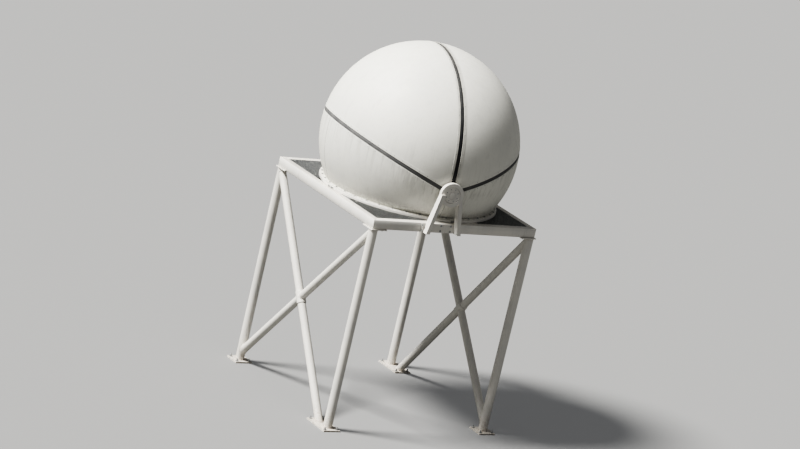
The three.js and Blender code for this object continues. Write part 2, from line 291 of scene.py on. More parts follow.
# Finishes
def near_welds(tree):
    """How near a point of the tower is to a leg's weld, at its foot or under its head plate."""
    height, skin = height_here(tree), 0.0004
    at_foot = ranged(tree, height, PLATE_TOP + 0.034, PLATE_TOP + 0.006)
    at_foot = times(tree, at_foot, maths(tree, "GREATER_THAN", height, PLATE_TOP + skin))
    at_head = ranged(tree, height, HEAD_UNDERSIDE - 0.060, HEAD_UNDERSIDE - 0.004)
    at_head = times(tree, at_head, maths(tree, "LESS_THAN", height, HEAD_UNDERSIDE - skin))
    return maths(tree, "MAXIMUM", at_foot, times(tree, at_head, 0.6))


def tower_paint():
    """White gloss paint on steel, chalked in patches, splashed near the ground, with a little rust."""
    made, tree, shader = new_material("tower_white_paint")
    white, chalk = (0.81, 0.79, 0.745, 1), (0.72, 0.71, 0.68)
    color = marked(tree, white, chalk, PATCHES, Scale=2.1, Low=0.35, High=0.75)
    color = marked(tree, color, (0.40, 0.37, 0.32), STREAKS, 0.42, Width=22.0, Length=1.2, Cover=0.55)
    dust = effect(tree, DUST, Scale=62.0, Cover=0.5)
    color = tinted(tree, color, (0.50, 0.45, 0.37), dust)
    splash = effect(tree, SPLASH, Height=0.5, Scale=36.0)
    color = tinted(tree, color, (0.30, 0.225, 0.15), splash, 0.7)
    spots = ranged(tree, noise(tree, position(tree), 46.0, detail=7.0, roughness=0.68), 0.66, 0.70)
    near_ground = effect(tree, SPLASH, Height=1.0, Scale=5.0)
    spots = times(tree, spots, plus(tree, 0.18, near_ground))
    flakes = ranged(tree, noise(tree, position(tree), 85.0, detail=6.0, roughness=0.7), 0.50, 0.62)
    at_welds = times(tree, times(tree, flakes, near_welds(tree)), 0.8)
    rust = maths(tree, "MAXIMUM", spots, at_welds)
    color = tinted(tree, color, (0.20, 0.070, 0.020), rust)
    color = marked(tree, color, (0.26, 0.20, 0.14), SPECKS, 0.45, Scale=48.0, Size=0.085, Cover=0.22)
    low_specks = effect(tree, SPECKS, Scale=105.0, Size=0.20, Cover=0.5)
    color = tinted(tree, color, (0.24, 0.165, 0.10), times(tree, low_specks, near_ground))
    dull = plus(tree, times(tree, dust, 0.3), times(tree, splash, 0.4))
    roughness = plus(tree, 0.36, plus(tree, dull, times(tree, rust, 0.4)))
    connect(tree, shader, color, roughness, bump=(0.25, 0.0006), Fine=300.0, Broad=22.0, Broad_Share=1.2)
    shader["Coat Weight"].default_value = 0.25
    shader["Coat Roughness"].default_value = 0.18
    return made


def dome_distances(tree):
    """How far a point lies to one side of the crown seam, and below the sloping rims, in metres."""
    values = {"Vector": position(tree), "Center": (0, 0, 0), "Angle": -DOME_TURN}
    turned = add_node(tree, "ShaderNodeVectorRotate", values, rotation_type="Z_AXIS").outputs[0]
    axes = axes_of(tree, turned)
    aside = maths(tree, "ABSOLUTE", axes[0])
    below_hinge = maths(tree, "SUBTRACT", BALL_CENTRE.z + HINGE.z, axes[2])
    return aside, plus(tree, times(tree, aside, RIM_SIN), times(tree, below_hinge, RIM_COS))


def gelcoat():
    """White gelcoat on glass fibre: dulled patches, streaks below the rims, grime near the ring."""
    made, tree, shader = new_material("dome_white_gelcoat")
    patches = effect(tree, PATCHES, Scale=0.9, Low=0.38, High=0.72)
    color = tinted(tree, (0.845, 0.84, 0.785, 1), (0.785, 0.785, 0.74), patches)
    color = marked(tree, color, (0.70, 0.69, 0.65), PATCHES, 0.35, Scale=7.5, Low=0.5, High=0.8)
    color = marked(tree, color, (0.52, 0.52, 0.49), STREAKS, 0.22, Width=6.5, Length=0.4, Cover=0.62)
    aside, depth = dome_distances(tree)
    # Darker in a band either side of the crown seam, above the rims, by an uneven amount
    beside_crown = times(tree, ranged(tree, aside, 0.115, 0.030), ranged(tree, depth, 0.0, -0.2))
    uneven = effect(tree, PATCHES, Scale=8.0, Low=0.3, High=0.75)
    settled = plus(tree, 0.5, times(tree, uneven, 0.4))
    color = tinted(tree, color, (0.44, 0.43, 0.40), times(tree, beside_crown, settled))
    under_rim = times(tree, ranged(tree, depth, 0.0, 0.035), ranged(tree, depth, 0.55, 0.04))
    runs = times(tree, effect(tree, STREAKS, Width=15.0, Length=0.8, Cover=0.85), under_rim)
    color = tinted(tree, color, (0.40, 0.39, 0.36), runs, 0.36)
    color = marked(tree, color, (0.46, 0.45, 0.41), STREAKS, 0.15, Width=48.0, Length=1.6, Cover=0.66)
    color = marked(tree, color, (0.33, 0.30, 0.25), SPECKS, 0.45, Scale=26.0, Size=0.055, Cover=0.30)
    foot = times(tree, ranged(tree, height_here(tree), RING_HIGH + 0.22, RING_HIGH), 0.4)
    grime = times(tree, foot, effect(tree, PATCHES, Scale=30.0, Low=0.3, High=0.65))
    color = tinted(tree, color, (0.36, 0.33, 0.28), grime)
    color = marked(tree, color, (0.60, 0.57, 0.50), DUST, Scale=9.0, Cover=0.16)
    roughness = plus(tree, plus(tree, 0.54, times(tree, patches, 0.14)), times(tree, runs, 0.2))
    connect(tree, shader, color, roughness, bump=(0.22, 0.0012), Fine=180.0, Broad=5.0, Broad_Share=5.0)
    shader["Specular IOR Level"].default_value = 0.35
    return made


def galvanising():
    """Hot-dip zinc: spangles of differing grey, dulled, with white bloom."""
    made, tree, shader = new_material("dull_zinc")
    spangles = add_node(tree, "ShaderNodeTexVoronoi", {"Vector": position(tree), "Scale": 75.0})
    tone = add_node(tree, "ShaderNodeSeparateColor", {0: spangles.outputs["Color"]}).outputs[0]
    color = tinted(tree, (0.36, 0.375, 0.39, 1), (0.52, 0.53, 0.54), tone)
    bloom = effect(tree, PATCHES, Scale=11.0, Low=0.5, High=0.75)
    color = tinted(tree, color, (0.60, 0.60, 0.58), bloom, 0.5)
    dust = effect(tree, DUST, Scale=30.0, Cover=0.5)
    color = tinted(tree, color, (0.44, 0.40, 0.33), dust)
    roughness = plus(tree, 0.42, times(tree, plus(tree, tone, bloom), 0.14))
    metal = maths(tree, "SUBTRACT", 0.85, times(tree, plus(tree, dust, bloom), 0.3))
    tree.links.new(metal, shader["Metallic"])
    connect(tree, shader, color, roughness, bump=(0.3, 0.0004), Fine=340.0, Broad=60.0, Broad_Share=1.0)
    return made


def seal_rubber(name, deep, bloomed, dust_cover):
    """Weathered rubber with a pale bloom and dust in its grooves."""
    made, tree, shader = new_material(name)
    bloom = effect(tree, PATCHES, Scale=6.0, Low=0.35, High=0.75)
    color = tinted(tree, (*deep, 1), bloomed, bloom)
    color = marked(tree, color, (0.30, 0.285, 0.255), DUST, Scale=40.0, Cover=dust_cover)
    roughness = plus(tree, 0.62, times(tree, bloom, 0.2))
    connect(tree, shader, color, roughness, bump=(0.35, 0.0006), Fine=420.0, Broad=70.0, Broad_Share=0.8)
    return made


def floor_paint():
    """Grey paint with grit in it, worn paler in patches."""
    made, tree, shader = new_material("grit_floor_paint")
    worn = effect(tree, PATCHES, Scale=3.0, Low=0.4, High=0.7)
    color = tinted(tree, (0.27, 0.28, 0.29, 1), (0.36, 0.365, 0.37), worn)
    grit = ranged(tree, noise(tree, position(tree), 230.0, detail=1.0), 0.58, 0.64)
    color = tinted(tree, color, (0.46, 0.46, 0.45), grit, 0.5)
    roughness = plus(tree, 0.55, times(tree, worn, 0.15))
    connect(tree, shader, color, roughness, bump=(0.6, 0.0012), Fine=240.0, Broad=30.0, Broad_Share=0.4)
    return made


# Each finish is a material and the record's slot for it.
STEEL = tower_paint(), "white_steel"
SHELL = gelcoat(), "white_shell"
ZINC = galvanising(), "galvanised_steel"
RUBBER = seal_rubber("weathered_rubber", (0.046, 0.048, 0.052), (0.085, 0.086, 0.088), 0.35), "dark_rubber"
# A paler copy of the rubber for the rim seals, with more dust than the crown's
PALER_DUSTY_RUBBER = seal_rubber("paler_dusty_rubber", (0.140, 0.141, 0.144), (0.20, 0.20, 0.198), 0.6), "dark_rubber"
SEALANT = seal_rubber("grey_sealant", (0.30, 0.30, 0.295), (0.40, 0.40, 0.385), 0.3), "dark_rubber"


# Forms
def put_in_scene(name, data):
    made = bpy.data.objects.new(name, data)
    bpy.context.scene.collection.objects.link(made)
    return made


def add_piece(name, form, finish, stands_for=()):
    """Turns a form into a piece of the object with its finish, and hides the solids that it stands for."""
    bmesh.ops.recalc_face_normals(form, faces=form.faces)
    mesh = bpy.data.meshes.new(name)
    form.to_mesh(mesh)
    form.free()
    material, slot = finish
    mesh.materials.append(material)
    mesh.shade_smooth()
    mesh.set_sharp_from_angle(angle=math.radians(35))
    made = put_in_scene(name, mesh)
    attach(made, BODY)
    if stands_for:
        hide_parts(*stands_for)


def add_rings(form, rings, joined=False):
    """Faces between each closed ring of points and the next, with end faces, or joined last to first."""
    made = [[form.verts.new(point) for point in ring] for ring in rings]
    count = len(made[0])
    for near, far in zip(made, made[1:] + ([made[0]] if joined else [])):
        for k in range(count):
            j = (k + 1) % count
            form.faces.new((near[k], near[j], far[j], far[k]))
    if not joined:
        form.faces.new(list(reversed(made[0])))
        form.faces.new(made[-1])
    return made


def square_to(axis):
    """Two directions square to an axis and to each other."""
    helper = UP if abs(axis.normalized().z) < 0.9 else Vector((1, 0, 0))
    first = helper.cross(axis).normalized()
    return first, axis.normalized().cross(first)


def spread(start, end, steps):
    """Evenly spaced values from start to end."""
    return [start + (end - start) * k / steps for k in range(steps + 1)]


def turns_round(count, shift=0.0):
    """Angles spaced evenly round a circle, from a share of a step on."""
    return [2 * math.pi * (k + shift) / count for k in range(count)]


def circle(centre, axis, radius, sides):
    first, second = square_to(axis)
    return [centre + radius * (math.cos(t) * first + math.sin(t) * second) for t in turns_round(sides)]


def add_turned(form, base, axis, profile, sides, looped=False):
    """A turned solid: profile is (distance along the axis, radius). looped is for a ring with a hole."""
    base, axis = Vector(base), Vector(axis).normalized()
    rings = [circle(base + axis * along, axis, radius, sides) for along, radius in profile]
    return add_rings(form, rings, joined=looped)


def soften(form, verts, edge):
    """Rounds the edges between faces that meet at an angle."""
    edges = {e for v in verts for e in v.link_edges if len(e.link_faces) == 2 and e.calc_face_angle() > 0.3}
    ways = {"offset_type": "OFFSET", "segments": 2, "profile": 0.5, "affect": "EDGES"}
    bmesh.ops.bevel(form, geom=list(edges), offset=edge, **ways)


def add_prism(form, bottom, top, edge=0.0):
    """A solid between two outlines with as many points each."""
    rings = add_rings(form, [[Vector(p) for p in bottom], [Vector(p) for p in top]])
    if edge:
        soften(form, rings[0] + rings[1], edge)


def add_upright(form, outline, low, high, edge):
    """A solid over a flat outline, between two heights."""
    add_prism(form, [(x, y, low) for x, y in outline], [(x, y, high) for x, y in outline], edge)


def add_block(form, low, high, edge=0.0):
    (x0, y0, z0), (x1, y1, z1) = low, high
    add_upright(form, [(x0, y0), (x1, y0), (x1, y1), (x0, y1)], z0, z1, edge)


def add_bead(form, path, size, closed=True):
    """A weld bead or a run of sealant along a path, with the small waves of each pass."""
    count, sides, wave, pace = len(path), 8, 0.13, 2.1
    extended = path[-1:] + path + path[:1] if closed else path[:1] + path + path[-1:]
    ways = [(after - before).normalized() for before, after in zip(extended, extended[2:])]
    across = [square_to(ways[0])[0]]
    for way in ways[1:] + ways[:1]:
        across.append((across[-1] - way * across[-1].dot(way)).normalized())
    last = across.pop()
    twist = math.atan2(ways[0].cross(across[0]).dot(last), across[0].dot(last)) if closed else 0.0
    rings = []
    for k, (point, way, first) in enumerate(zip(path, ways, across)):
        radius, second = size * (1 + wave * math.sin(pace * k)), way.cross(first)
        turns = [turn - twist * k / count for turn in turns_round(sides)]
        rings.append([point + radius * (math.cos(t) * first + math.sin(t) * second) for t in turns])
    add_rings(form, rings, joined=closed)


def add_straight_bead(form, start, end, size):
    start, end, spacing = Vector(start), Vector(end), 0.008
    steps = max(2, round((end - start).length / spacing))
    add_bead(form, [start.lerp(end, k / steps) for k in range(steps + 1)], size, closed=False)


def add_bolt(form, seat, out, across, stud=0.0):
    """A hexagon head or nut on a washer. stud is how far a threaded rod stands out past it."""
    seat, out = Vector(seat), Vector(out).normalized()
    washer, head, corner = 0.14 * across, 0.62 * across, across / math.sqrt(3)
    add_turned(form, seat, out, [(0, 0.98 * across), (washer, 0.98 * across)], sides=20)
    rims = [(washer, corner), (washer + 0.88 * head, corner), (washer + head, 0.86 * corner)]
    add_turned(form, seat, out, rims, sides=6)
    if stud:
        rod, end = 0.33 * across, washer + head + stud
        add_turned(form, seat, out, [(head, rod), (end, rod), (end + 0.002, 0.8 * rod)], sides=14)


def form_of(node):
    """A solid's form, with each of its flat faces in one piece."""
    form = bmesh.new()
    form.from_mesh(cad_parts[node].data)
    bmesh.ops.remove_doubles(form, verts=form.verts, dist=1e-5)
    bmesh.ops.dissolve_limit(form, angle_limit=0.01, verts=form.verts, edges=form.edges)
    return form


def softened_node(name, finish, edge):
    """A copy of a solid with its edges rounded, in place of the solid."""
    form = form_of(name)
    soften(form, form.verts, edge)
    add_piece(f"{name}_softened", form, finish, [name])


# Tower
def corner_point(corner, height):
    x, y = CORNERS[corner]
    return Vector((x * LEG_AT, y * LEG_AT, height))


def inward_of(corner, in_x, in_y):
    """A place by its distances in from a leg's centre, along the two beams."""
    x, y = CORNERS[corner]
    return x * (LEG_AT - in_x), y * (LEG_AT - in_y)


def make_foot_plate(corner):
    """The plate, and its four anchor studs with nuts and washers."""
    node, margin = f"foot_plate_{corner}", 0.045
    low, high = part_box(node)
    form = bmesh.new()
    add_block(form, low, high, edge=0.003)
    add_piece(f"{node}_softened", form, STEEL, [node])
    anchors = bmesh.new()
    for x in (low.x + margin, high.x - margin):
        for y in (low.y + margin, high.y - margin):
            add_bolt(anchors, (x, y, high.z), UP, across=0.030, stud=0.022)
    add_piece(f"anchors_{corner}", anchors, ZINC)


def make_leg(corner):
    """A tube with a head plate, its welds and the four bolts up into the frame."""
    form = bmesh.new()
    base = corner_point(corner, PLATE_TOP + FIT_GAP)
    add_turned(form, base, UP, [(0, LEG_RADIUS), (HEAD_UNDERSIDE - base.z, LEG_RADIUS)], sides=64)
    outline = [inward_of(corner, *end) for end in HEAD_PLATE_ENDS]
    add_upright(form, outline, HEAD_UNDERSIDE, HEAD_TOP, edge=0.0025)
    for height in (PLATE_TOP + 0.004, HEAD_UNDERSIDE - 0.003):
        add_bead(form, circle(corner_point(corner, height), UP, LEG_RADIUS + 0.002, 72), LEG_WELD)
    add_piece(f"leg_tube_{corner}", form, STEEL, [f"leg_{corner}"])
    bolts = bmesh.new()
    for place in HEAD_BOLTS:
        add_bolt(bolts, (*inward_of(corner, *place), HEAD_UNDERSIDE), -UP, across=0.021, stud=0.008)
    add_piece(f"head_bolts_{corner}", bolts, ZINC)


def saddle(point, along, tube_at, tube_way, radius):
    """Where a line that starts inside a tube leaves its surface."""
    offset, lean = (v - tube_way * v.dot(tube_way) for v in (point - tube_at, along))
    a, b, c = lean.dot(lean), 2 * offset.dot(lean), offset.dot(offset) - radius ** 2
    return point + along * ((-b + math.sqrt(b * b - 4 * a * c)) / (2 * a))


def brace_axis(head, foot, inset):
    """A brace's axis, from the leg's own axis to the foot plate or, without an inset, to the other leg's."""
    inward = (corner_point(head, 0) - corner_point(foot, 0)).normalized()
    low_height = PLATE_TOP + FIT_GAP if inset else BRACE_LOW_HEIGHT
    top = corner_point(head, HEAD_UNDERSIDE - BRACE_TOP_DROP)
    return top, corner_point(foot, low_height) + inward * inset


def add_welded_tube(form, upper, lower):
    """A tube between two outlines, sunk a little into what it meets, with a bead round each end."""
    along = (lower[0] - upper[0]).normalized() * WELD_SINK
    add_rings(form, [[p - along for p in upper], [p + along for p in lower]])
    for outline in (upper, lower):
        add_bead(form, outline, BRACE_WELD)


def make_through_brace(side, head, foot):
    """A tube from a leg's head to the plate at the next leg's foot."""
    top, landing = brace_axis(head, foot, BRACE_INSET)
    along = (landing - top).normalized()
    section = circle(top, along, BRACE_RADIUS, 48)
    upper = [saddle(point, along, top, UP, LEG_RADIUS) for point in section]
    lower = [point + along * ((landing.z - point.z) / along.z) for point in section]
    form = bmesh.new()
    add_welded_tube(form, upper, [point - along * WELD_SINK for point in lower])
    add_piece(f"brace_tube_{side}", form, STEEL, [f"brace_{side}"])


def make_cross_brace(side, head, foot):
    """Two tubes between the legs and a sleeve round the through brace, where it crosses."""
    top, landing = brace_axis(head, foot, 0.0)
    through_top, through_landing = brace_axis(foot, head, BRACE_INSET)
    crossing = intersect_line_line(top, landing, through_top, through_landing)[0]
    along = (landing - top).normalized()
    through = (through_landing - through_top).normalized()
    form = bmesh.new()
    for ground, way in ((top, along), (landing, -along)):
        section = circle(ground, way, BRACE_RADIUS, 48)
        at_leg = [saddle(point, way, ground, UP, LEG_RADIUS) for point in section]
        middle = [point + way * (crossing - ground).dot(way) for point in section]
        at_sleeve = [saddle(point, -way, crossing, through, SLEEVE_RADIUS) for point in middle]
        add_welded_tube(form, at_leg, at_sleeve)
    half, edge, inner = SLEEVE_LENGTH / 2, 0.003, BRACE_RADIUS + FIT_GAP
    profile = [(-half, inner), (-half, SLEEVE_RADIUS - edge), (edge - half, SLEEVE_RADIUS)]
    profile += [(-distance, radius) for distance, radius in reversed(profile)]
    add_turned(form, crossing, through, profile, sides=64, looped=True)
    for end in (-half, half):
        add_bead(form, circle(crossing + through * end, through, BRACE_RADIUS + 0.002, 72), SLEEVE_WELD)
    add_piece(f"cross_brace_tubes_{side}", form, STEEL, [f"cross_brace_{side}"])


def make_tower():
    for corner in CORNERS:
        make_foot_plate(corner)
        make_leg(corner)
    for side, (through_head, cross_head) in BRACED_SIDES.items():
        make_through_brace(side, through_head, cross_head)
        make_cross_brace(side, cross_head, through_head)


# Platform
def make_frame_beams():
    """The four box beams, and the welds at their mitres."""
    for side in ("front", "right", "back", "left"):
        softened_node(f"frame_beam_{side}", STEEL, edge=0.009)
    welds = bmesh.new()
    for x, y in CORNERS.values():
        inner, outer = (
            [Vector((x * reach, y * reach, z)) for z in (BEAM_LOW, BEAM_HIGH)]
            for reach in (BEAM_INNER, BEAM_OUTER)
        )
        pull = Vector((x, y, 0)) * 0.006
        for start, end in zip(inner, outer):
            add_straight_bead(welds, start, end - pull, size=0.004)
        add_straight_bead(welds, outer[0] - pull, outer[1] - pull, FRAME_WELD)
    add_piece("mitre_welds", welds, STEEL)


def add_end_welds(welds, name, size):
    """Beads down the sides and along the bottom of the faces that meet the frame beams."""
    solid = form_of(name)
    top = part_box(name)[1].z
    for face in solid.faces:
        centre, facing = face.calc_center_median(), face.normal
        reach = max(abs(centre.x) * abs(facing.x), abs(centre.y) * abs(facing.y))
        if reach < BEAM_INNER - 0.003:
            continue
        for edge in face.edges:
            near, far = (corner.co.copy() for corner in edge.verts)
            if min(near.z, far.z) < top - 0.001:
                add_straight_bead(welds, near, far, size)
    solid.free()


def make_joists_and_ties():
    welds = bmesh.new()
    names = [f"joist_{place}" for place in ("left", "middle", "right")]
    for name in names + [f"corner_tie_{corner}" for corner in CORNERS]:
        softened_node(name, STEEL, edge=0.006)
        add_end_welds(welds, name, FRAME_WELD)
    add_piece("joist_and_tie_welds", welds, STEEL)


def make_deck_corner(corner):
    """A panel of bar grating: deep bars one way, thin rods across them, and a band round the edge."""
    bar, pitch, rod, rod_pitch, band = 0.004, 0.030, 0.006, 0.050, 0.004
    rod_low, rod_high = GRATING_HIGH - 0.010, GRATING_HIGH - 0.002
    low, high = GRATING_START, GRATING_END
    form = bmesh.new()

    def inner_edge(y):
        return math.sqrt(max(GRATING_ARC ** 2 - y ** 2, low ** 2))

    y = low + pitch
    while y < high - band:
        add_block(form, (inner_edge(y), y, GRATING_LOW), (high - band, y + bar, GRATING_HIGH))
        y += pitch
    x = low + rod_pitch
    while x < high - band:
        add_block(form, (x, inner_edge(x), rod_low), (x + rod, high - band, rod_high))
        x += rod_pitch
    far = math.sqrt(GRATING_ARC ** 2 - low ** 2)
    bands = [((high - band, low), (high, high)), ((low, high - band), (high - band, high))]
    bands += [((far, low), (high, low + band)), ((low, far), (low + band, high))]
    for start, end in bands:
        add_block(form, (*start, GRATING_LOW), (*end, GRATING_HIGH))
    first = math.asin(low / GRATING_ARC)
    profile = [(GRATING_ARC, GRATING_LOW), (GRATING_ARC + band, GRATING_LOW)]
    profile += [(GRATING_ARC + band, GRATING_HIGH), (GRATING_ARC, GRATING_HIGH)]
    add_arc(form, profile, first, QUARTER_TURN - first, 40)
    turn = Matrix.Rotation(QUARTERS[corner] * QUARTER_TURN, 4, "Z")
    form.transform(turn)
    add_piece(f"grating_{corner}", form, ZINC, [f"deck_corner_{corner}"])
    clips = bmesh.new()
    near, far = low + 0.170, high - 0.075
    half_x, half_y, clip_top = 0.024, 0.015, GRATING_HIGH + 0.003
    for x, y in ((near, far), (far, near), (far, far)):
        start, end = (x - half_x, y - half_y, GRATING_HIGH), (x + half_x, y + half_y, clip_top)
        add_block(clips, start, end, edge=0.001)
        add_bolt(clips, (x, y, clip_top), UP, across=0.013)
    clips.transform(turn)
    add_piece(f"grating_clips_{corner}", clips, ZINC)


def about_z(turn, radius, height):
    return Vector((radius * math.cos(turn), radius * math.sin(turn), height))


def add_arc(form, profile, start, end, steps):
    """A bar swept about the Z axis. profile is (radius, height)."""
    add_rings(form, [[about_z(turn, r, z) for r, z in profile] for turn in spread(start, end, steps)])


def rounded_profile(inner, outer, low, high, edge):
    """A rectangle in radius and height with cut corners."""
    return [
        (inner, low + edge), (inner + edge, low), (outer - edge, low), (outer, low + edge),
        (outer, high - edge), (outer - edge, high), (inner + edge, high), (inner, high - edge),
    ]


def make_base_ring():
    """The ring in four quarters, joined by bolted plates on its outer face."""
    trim = 0.00015 / RING_INNER
    profile = rounded_profile(RING_INNER, RING_OUTER, RING_LOW, RING_HIGH, 0.003)
    for corner, quarters in QUARTERS.items():
        form = bmesh.new()
        add_arc(form, profile, trim, QUARTER_TURN - trim, 60)
        form.transform(Matrix.Rotation(quarters * QUARTER_TURN, 4, "Z"))
        add_piece(f"ring_{corner}", form, STEEL, [f"base_ring_{corner}"])
    plates, bolts = bmesh.new(), bmesh.new()
    half, face = 0.085 / RING_OUTER, RING_OUTER + 0.008
    low, high = RING_LOW + 0.003, RING_HIGH - 0.003
    for middle in turns_round(4):
        plate = rounded_profile(RING_OUTER, face, low, high, 0.001)
        add_arc(plates, plate, middle - half, middle + half, 10)
        for along in (-0.062, -0.028, 0.028, 0.062):
            out = about_z(middle + along / RING_OUTER, 1, 0)
            add_bolt(bolts, out * face + UP * (low + high) / 2, out, across=0.016)
    add_piece("ring_joint_plates", plates, STEEL)
    add_piece("ring_joint_bolts", bolts, ZINC)


def make_platform():
    make_frame_beams()
    make_joists_and_ties()
    for corner in CORNERS:
        make_deck_corner(corner)
    make_base_ring()
    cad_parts["floor_plate"].material_slots[0].material = floor_paint()


# Dome
class Seam:
    """A flat cut through the ball that holds the hinge line's direction."""

    def __init__(self, normal, rise):
        self.normal, self.rise = Vector(normal), Vector(rise)
        self.distance = HINGE.dot(self.normal)
        self.hinge_rise = HINGE.dot(self.rise)

    def ring_radius(self, aside, height):
        return math.sqrt((BALL_RADIUS + height) ** 2 - (self.distance + aside) ** 2)

    def point(self, turn, aside=0.0, height=0.0):
        """A point by its turn from the front, its distance to one side and its height over the shell."""
        radius = self.ring_radius(aside, height)
        along = Vector((0, -radius * math.cos(turn), 0))
        return self.normal * (self.distance + aside) + along + self.rise * (radius * math.sin(turn))

    def start(self, reach):
        """The turn where the seam is a distance up from the hinge line."""
        return math.asin((self.hinge_rise + reach) / self.ring_radius(0, 0))


CROWN = Seam((1, 0, 0), (0, 0, 1))
RIMS = {
    name: Seam((-side * RIM_SIN, 0, RIM_COS), (side * RIM_COS, 0, RIM_SIN))
    for name, side in SIDES.items()
}


def hub_edge(side, end, turn):
    """A point of the ball on the hub's edge, by its turn from the top."""
    x = side * HUB_RADIUS * math.sin(turn)
    z = HINGE.z + HUB_RADIUS * math.cos(turn)
    return Vector((x, end * math.sqrt(BALL_RADIUS ** 2 - x * x - z * z), z))


def patch_on_ball(bottom, top, front, back, across, along):
    """Rows of directions between four edges, each a function from 0 to 1."""
    rows = []
    for v in spread(0, 1, across):
        rows.append([])
        for u in spread(0, 1, along):
            point = bottom(u) * (1 - v) + top(u) * v + front(v) * (1 - u) + back(v) * u
            point -= (bottom(0) * (1 - u) + bottom(1) * u) * (1 - v) + (top(0) * (1 - u) + top(1) * u) * v
            rows[-1].append(point.normalized())
    return rows


def add_shell(form, rows):
    """A wall of even thickness between the ball's outer face and its inner one."""
    outer = [[form.verts.new(p * BALL_RADIUS) for p in row] for row in rows]
    inner = [[form.verts.new(p * (BALL_RADIUS - WALL)) for p in row] for row in rows]
    for grid, order in ((outer, 1), (inner, -1)):
        for near, far in zip(grid, grid[1:]):
            for k in range(len(near) - 1):
                form.faces.new((near[k], near[k + 1], far[k + 1], far[k])[::order])

    def rim(grid):
        first, last = grid[0], grid[-1]
        up = [row[-1] for row in grid[1:-1]]
        down = [row[0] for row in reversed(grid[1:-1])]
        return first + up + last[::-1] + down

    outside, inside = rim(outer), rim(inner)
    for k in range(len(outside)):
        j = (k + 1) % len(outside)
        form.faces.new((outside[k], inside[k], inside[j], outside[j]))


def add_seam_strip(form, seam, profile, start, end, steps):
    """A strip along a seam. profile is (distance to one side, height over the shell)."""
    turns = spread(start, end, steps)
    add_rings(form, [[seam.point(turn, aside, height) for aside, height in profile] for turn in turns])


def lip_profile(side):
    """A flat lip on a shell's edge beside a seam, with rounded corners."""
    width, rise, foot, cut, far_cut = 0.046, 0.0025, -0.004, 0.0008, 0.001
    points = [(0, foot), (0, rise - cut), (cut, rise)]
    points += [(width - far_cut, rise), (width, rise - far_cut), (width + 0.002, foot)]
    return [(side * (SEAM_HALF + along), height) for along, height in points]


def seal_profile():
    """A rubber strip with a rounded back, two grooves and square flanks below."""
    half, steps, flank = SEAM_HALF - 0.0006, 16, -0.024
    shoulder, rise = -0.0075, 0.0055
    groove_at, groove_depth, groove_width = 0.55 * half, 0.0028, 0.0032
    points = [(-half, flank)]
    for k in range(steps + 1):
        aside = half * (2 * k / steps - 1)
        groove = groove_depth * math.exp(-((abs(aside) - groove_at) / groove_width) ** 2)
        points.append((aside, shoulder + rise * math.cos(QUARTER_TURN * aside / half) - groove))
    return points + [(half, flank)]


def arc_between(function, start, end):
    return lambda t: function(start + (end - start) * t)


def make_upper_shell(name):
    """One upper shell, with a lip along the crown and along its rim."""
    side, rim = SIDES[name], RIMS[name]
    start = math.acos(SEAM_HALF / HUB_RADIUS) - RIM_RISE
    end = math.asin(SEAM_HALF / HUB_RADIUS)
    front, back = (arc_between(lambda turn, to=to: hub_edge(side, to, turn), start, end) for to in (-1, 1))
    rim_start = turn_at(rim, SEAM_HALF, front(0))
    crown_start = turn_at(CROWN, side * SEAM_HALF, front(1))
    bottom = arc_between(lambda turn: rim.point(turn, SEAM_HALF), rim_start, math.pi - rim_start)
    top = arc_between(lambda turn: CROWN.point(turn, side * SEAM_HALF), crown_start, math.pi - crown_start)
    form = bmesh.new()
    add_shell(form, patch_on_ball(bottom, top, front, back, across=56, along=144))
    for seam, way in ((rim, 1), (CROWN, side)):
        start = seam.start(0.9 * HUB_RADIUS)
        add_seam_strip(form, seam, lip_profile(way), start, math.pi - start, 160)
    form.transform(DOME)
    add_piece(f"upper_shell_{name}", form, SHELL, [f"shell_{name}"])


def turn_at(seam, aside, point):
    """The turn of a point that lies on a seam's circle."""
    radius = seam.ring_radius(aside, 0)
    return math.asin((point - seam.normal * (seam.distance + aside)).dot(seam.rise) / radius)


